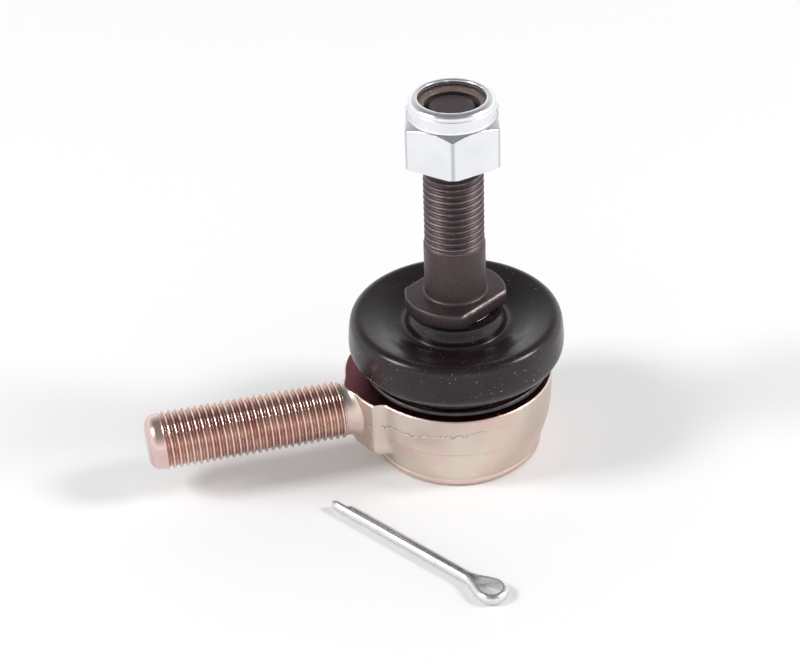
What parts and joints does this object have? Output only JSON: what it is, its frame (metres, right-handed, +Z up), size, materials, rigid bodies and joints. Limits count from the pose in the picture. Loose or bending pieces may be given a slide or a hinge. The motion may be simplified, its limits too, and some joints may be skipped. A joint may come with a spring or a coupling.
{
  "type": "tie rod end",
  "caption": "Ball joint rod end: threaded shank, round socket with rubber dust boot, swivelling ball stud with a flanged base, nylon-insert lock nut, and a loose cotter pin.",
  "frame": {"origin": "on the stud's axis, in the plane of the housing's flat bottom face", "axes": "+Z up along the stud at rest; the threaded shank points along -X; +Y completes the right-hand frame"},
  "size_m": [0.068, 0.0597, 0.0633],
  "materials": {
    "plated_housing": "forged and turned steel, yellow chromate over zinc, satin",
    "plated_cap": "pressed steel, yellow chromate over zinc, satin",
    "bearing_polymer": "natural acetal, greased",
    "spring_steel": "blued spring steel",
    "ring_steel": "black oxide",
    "boot_rubber": "moulded rubber, semi-gloss",
    "phosphated_stud": "dark brown phosphate, lightly oiled",
    "bright_zinc": "bright zinc",
    "nylon": "natural nylon, smooth",
    "pin_steel": "bright zinc wire"
  },
  "bodies": {
    "housing": {"socket_housing": "plated_housing", "upper_bearing_seat": "bearing_polymer", "lower_bearing_seat": "bearing_polymer", "preload_spring": "spring_steel", "end_cap": "plated_cap", "boot_lower_ring": "ring_steel"},
    "boot": {"dust_boot": "boot_rubber"},
    "boot_collar": {"boot_upper_sleeve": "ring_steel", "boot_collar_bush": "bearing_polymer"},
    "stud": {"ball_stud": "phosphated_stud"},
    "nut_ring": {"nylon_insert": "nylon"},
    "nut": {"hex_nut": "bright_zinc"},
    "pin": {"cotter_pin": "pin_steel"}
  },
  "joints": [
    {"name": "swing_y", "type": "hinge", "parent": "housing", "child": "boot", "pos_m": [0, 0, 0.011], "axis": [0, 1, 0], "range_deg": [-21, 21], "deforming": ["dust_boot"]},
    {"name": "swing_x", "type": "hinge", "parent": "boot", "child": "boot_collar", "pos_m": [0, 0, 0.011], "axis": [1, 0, 0], "range_deg": [-21, 21], "deforming": ["dust_boot"]},
    {"name": "stud_spin", "type": "hinge", "parent": "boot_collar", "child": "stud", "pos_m": [0, 0, 0.011], "axis": [0, 0, 1], "continuous": true},
    {"name": "nut_travel", "type": "slide", "parent": "stud", "child": "nut_ring", "axis": [0, 0, 1], "range_m": [-0.0138, 0.0085], "deforming": ["nylon_insert"]},
    {"name": "nut_turn", "type": "hinge", "parent": "nut_ring", "child": "nut", "pos_m": [0, 0, 0.056], "axis": [0, 0, 1], "range_deg": [-4680, 2880]},
    {"name": "pin_lift", "type": "slide", "parent": "housing", "child": "pin", "axis": [0, 0, 1], "range_m": [0, 0.03]}
  ],
  "couplings": [
    {"joint": "nut_travel", "follows": "nut_turn", "m_per_rad": 0.00016844}
  ]
}
